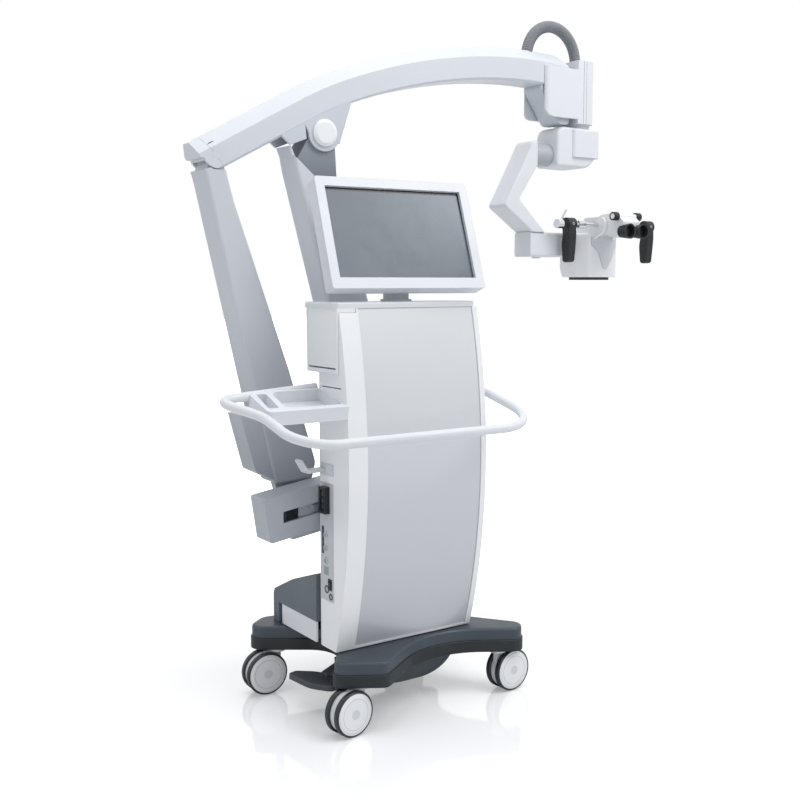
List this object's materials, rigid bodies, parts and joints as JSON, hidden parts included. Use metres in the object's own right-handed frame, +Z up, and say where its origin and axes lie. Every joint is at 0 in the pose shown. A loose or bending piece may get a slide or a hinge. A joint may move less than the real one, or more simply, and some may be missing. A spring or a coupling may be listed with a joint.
{
  "type": "surgical microscope",
  "caption": "Surgical microscope on a wheeled floor stand: control cabinet with touch screen and tray, balanced parallelogram boom, and a hanging optics head with grips.",
  "frame": {"origin": "on the floor, below the middle of the base", "axes": "+X along the cabinet's front to the operator's right, +Y to the rear, +Z up"},
  "size_m": [1.7233, 0.7132, 2.071],
  "materials": {
    "white_paint": "satin",
    "white_plastic": "satin",
    "white_sheet": "satin",
    "silver_panel": "satin",
    "slate_casting": "matte",
    "slate_plastic": "matte",
    "black_rubber": "matte",
    "black_plastic": "matte",
    "light_caster": "satin",
    "steel": "satin",
    "chrome": "polished",
    "grey_paint": "satin",
    "light_grey": "satin",
    "grey_hose": "matte",
    "screen": "gloss",
    "unit_metal": "satin",
    "lead_grey": "matte"
  },
  "bodies": {
    "base": {"base_casting": "slate_casting", "base_bumper": "black_rubber", "belly_pan": "slate_casting", "column": "white_sheet", "cabinet_shell": "white_sheet", "cabinet_skirt": "white_sheet", "rear_cover": "slate_plastic", "front_panel": "silver_panel", "top_cover": "white_plastic", "side_box": "white_plastic", "connector_panel": "light_grey", "cable_hook": "white_plastic", "handle_bar": "white_paint", "tray": "white_plastic", "chassis": "unit_metal", "electronics_units": "unit_metal", "monitor_post": "grey_paint"},
    "pedal": {"brake_pedal": "black_plastic"},
    "switch": {"power_switch": "black_plastic"},
    "monitor_turn": {"monitor_neck": "white_paint"},
    "monitor": {"monitor_shell": "white_plastic", "monitor_bezel": "white_plastic", "monitor_screen": "screen"},
    "stand_head": {"yoke": "grey_paint"},
    "mast": {"upright": "white_paint", "upright_head": "grey_paint"},
    "mast_pin": {"top_pin": "steel"},
    "boom_arm": {"boom": "white_paint", "boom_end_cap": "white_plastic", "boom_brackets": "white_paint"},
    "heel_pin": {"rear_pin": "steel"},
    "strut": {"rear_strut": "white_paint", "strut_cover": "white_plastic"},
    "weight_beam": {"beam": "grey_paint", "weight_box": "white_paint"},
    "slide_weight": {"balance_weight": "lead_grey"},
    "bracket": {"head_bracket": "white_paint", "hose": "grey_hose"},
    "swivel": {"swivel_housing": "white_paint", "swivel_cap": "white_plastic"},
    "carm": {"c_arm": "white_paint", "roll_link": "grey_paint", "lower_housing": "white_paint"},
    "optics": {"scope_body": "white_plastic", "scope_shield": "light_grey", "objective": "black_plastic", "chrome_coupling": "chrome", "tilt_hub": "black_plastic"},
    "binocular": {"binocular_tube": "white_plastic", "eyepieces": "black_rubber"},
    "grip_left": {"left_grip": "black_plastic"},
    "grip_right": {"right_grip": "black_plastic"},
    "fork_front_left": {"caster_body_front_left": "light_caster"},
    "wheel_front_left": {"caster_wheel_front_left": "light_caster"},
    "fork_front_right": {"caster_body_front_right": "light_caster"},
    "wheel_front_right": {"caster_wheel_front_right": "light_caster"},
    "fork_rear_left": {"caster_body_rear_left": "light_caster"},
    "wheel_rear_left": {"caster_wheel_rear_left": "light_caster"},
    "fork_rear_right": {"caster_body_rear_right": "light_caster"},
    "wheel_rear_right": {"caster_wheel_rear_right": "light_caster"}
  },
  "joints": [
    {"name": "swivel_front_left", "type": "hinge", "parent": "base", "child": "fork_front_left", "pos_m": [-0.212, -0.18, 0.12], "axis": [0, 0, 1], "continuous": true},
    {"name": "roll_front_left", "type": "hinge", "parent": "fork_front_left", "child": "wheel_front_left", "pos_m": [-0.25359, -0.18585, 0.063], "axis": [0.1392, -0.9903, 0], "continuous": true},
    {"name": "swivel_front_right", "type": "hinge", "parent": "base", "child": "fork_front_right", "pos_m": [0.276, -0.17, 0.12], "axis": [0, 0, 1], "continuous": true},
    {"name": "roll_front_right", "type": "hinge", "parent": "fork_front_right", "child": "wheel_front_right", "pos_m": [0.31794, -0.1678, 0.063], "axis": [-0.0523, 0.9986, 0], "continuous": true},
    {"name": "swivel_rear_left", "type": "hinge", "parent": "base", "child": "fork_rear_left", "pos_m": [-0.262, 0.212, 0.12], "axis": [0, 0, 1], "continuous": true},
    {"name": "roll_rear_left", "type": "hinge", "parent": "fork_rear_left", "child": "wheel_rear_left", "pos_m": [-0.3039, 0.21493, 0.063], "axis": [-0.0698, -0.9976, 0], "continuous": true},
    {"name": "swivel_rear_right", "type": "hinge", "parent": "base", "child": "fork_rear_right", "pos_m": [0.232, 0.205, 0.12], "axis": [0, 0, 1], "continuous": true},
    {"name": "roll_rear_right", "type": "hinge", "parent": "fork_rear_right", "child": "wheel_rear_right", "pos_m": [0.19006, 0.2028, 0.063], "axis": [0.0523, -0.9986, 0], "continuous": true},
    {"name": "pedal_swing", "type": "hinge", "parent": "base", "child": "pedal", "pos_m": [-0.15, 0.014, 0.112], "axis": [0, 1, 0], "range_deg": [-7, 7]},
    {"name": "switch_rock", "type": "hinge", "parent": "base", "child": "switch", "pos_m": [-0.245, -0.078, 0.388], "axis": [0, 1, 0], "range_deg": [-5, 5]},
    {"name": "monitor_swivel", "type": "hinge", "parent": "base", "child": "monitor_turn", "pos_m": [-0.015, -0.06, 1.19], "axis": [0, 0, 1], "range_deg": [-16, 30]},
    {"name": "monitor_tilt", "type": "hinge", "parent": "monitor_turn", "child": "monitor", "pos_m": [-0.01275, -0.02207, 1.345], "axis": [0.9982, -0.0593, 0], "range_deg": [-10, 0]},
    {"name": "stand_swivel", "type": "hinge", "parent": "base", "child": "stand_head", "pos_m": [0.06, 0.15, 0.52], "axis": [0, 0, 1], "range_deg": [-95, 1.5]},
    {"name": "mast_tilt", "type": "hinge", "parent": "stand_head", "child": "mast", "pos_m": [0.089, 0.15, 0.648], "axis": [0, 1, 0], "range_deg": [-6, 8]},
    {"name": "mast_level", "type": "hinge", "parent": "mast", "child": "mast_pin", "pos_m": [-0.148, 0.15, 1.638], "axis": [0, 1, 0], "range_deg": [-8, 6]},
    {"name": "boom_tilt", "type": "hinge", "parent": "mast_pin", "child": "boom_arm", "pos_m": [-0.148, 0.15, 1.638], "axis": [0, 1, 0], "range_deg": [-6, 22]},
    {"name": "heel_level", "type": "hinge", "parent": "boom_arm", "child": "heel_pin", "pos_m": [-0.478, 0.15, 1.56], "axis": [0, 1, 0], "range_deg": [-22, 6]},
    {"name": "strut_swing", "type": "hinge", "parent": "heel_pin", "child": "strut", "pos_m": [-0.478, 0.15, 1.56], "axis": [0, 1, 0], "range_deg": [-6, 8]},
    {"name": "beam_tilt", "type": "hinge", "parent": "stand_head", "child": "weight_beam", "pos_m": [0.089, 0.15, 0.648], "axis": [0, 1, 0], "range_deg": [-6, 22]},
    {"name": "weight_slide", "type": "slide", "parent": "weight_beam", "child": "slide_weight", "axis": [0.9897, 0, 0.1435], "range_m": [-0.06, 0.06]},
    {"name": "front_level", "type": "hinge", "parent": "boom_arm", "child": "bracket", "pos_m": [0.715, 0.15, 1.885], "axis": [0, 1, 0], "range_deg": [-22, 6], "deforming": ["hose"]},
    {"name": "head_turn", "type": "hinge", "parent": "bracket", "child": "swivel", "pos_m": [0.858, 0.15, 1.728], "axis": [0, 0, 1], "range_deg": [-150, 150]},
    {"name": "arm_roll", "type": "hinge", "parent": "swivel", "child": "carm", "pos_m": [0.735, 0.15, 1.637], "axis": [1, 0, 0], "range_deg": [-35, 35]},
    {"name": "scope_tilt", "type": "hinge", "parent": "carm", "child": "optics", "pos_m": [0.772, 0.15, 1.343], "axis": [1, 0, 0], "range_deg": [-20, 50]},
    {"name": "binocular_tilt", "type": "hinge", "parent": "optics", "child": "binocular", "pos_m": [0.944, 0.062, 1.414], "axis": [1, 0, 0], "range_deg": [-8, 30]},
    {"name": "left_grip_turn", "type": "hinge", "parent": "optics", "child": "grip_left", "pos_m": [0.764, 0.072, 1.41], "axis": [1, 0, 0], "range_deg": [-35, 4]},
    {"name": "right_grip_turn", "type": "hinge", "parent": "optics", "child": "grip_right", "pos_m": [1.13, 0.072, 1.41], "axis": [1, 0, 0], "range_deg": [-35, 4]}
  ],
  "couplings": [
    {"joint": "mast_level", "follows": "mast_tilt", "ratio": -1},
    {"joint": "strut_swing", "follows": "mast_tilt", "ratio": 1},
    {"joint": "heel_level", "follows": "boom_tilt", "ratio": -1},
    {"joint": "beam_tilt", "follows": "boom_tilt", "ratio": 1},
    {"joint": "front_level", "follows": "boom_tilt", "ratio": -1}
  ]
}
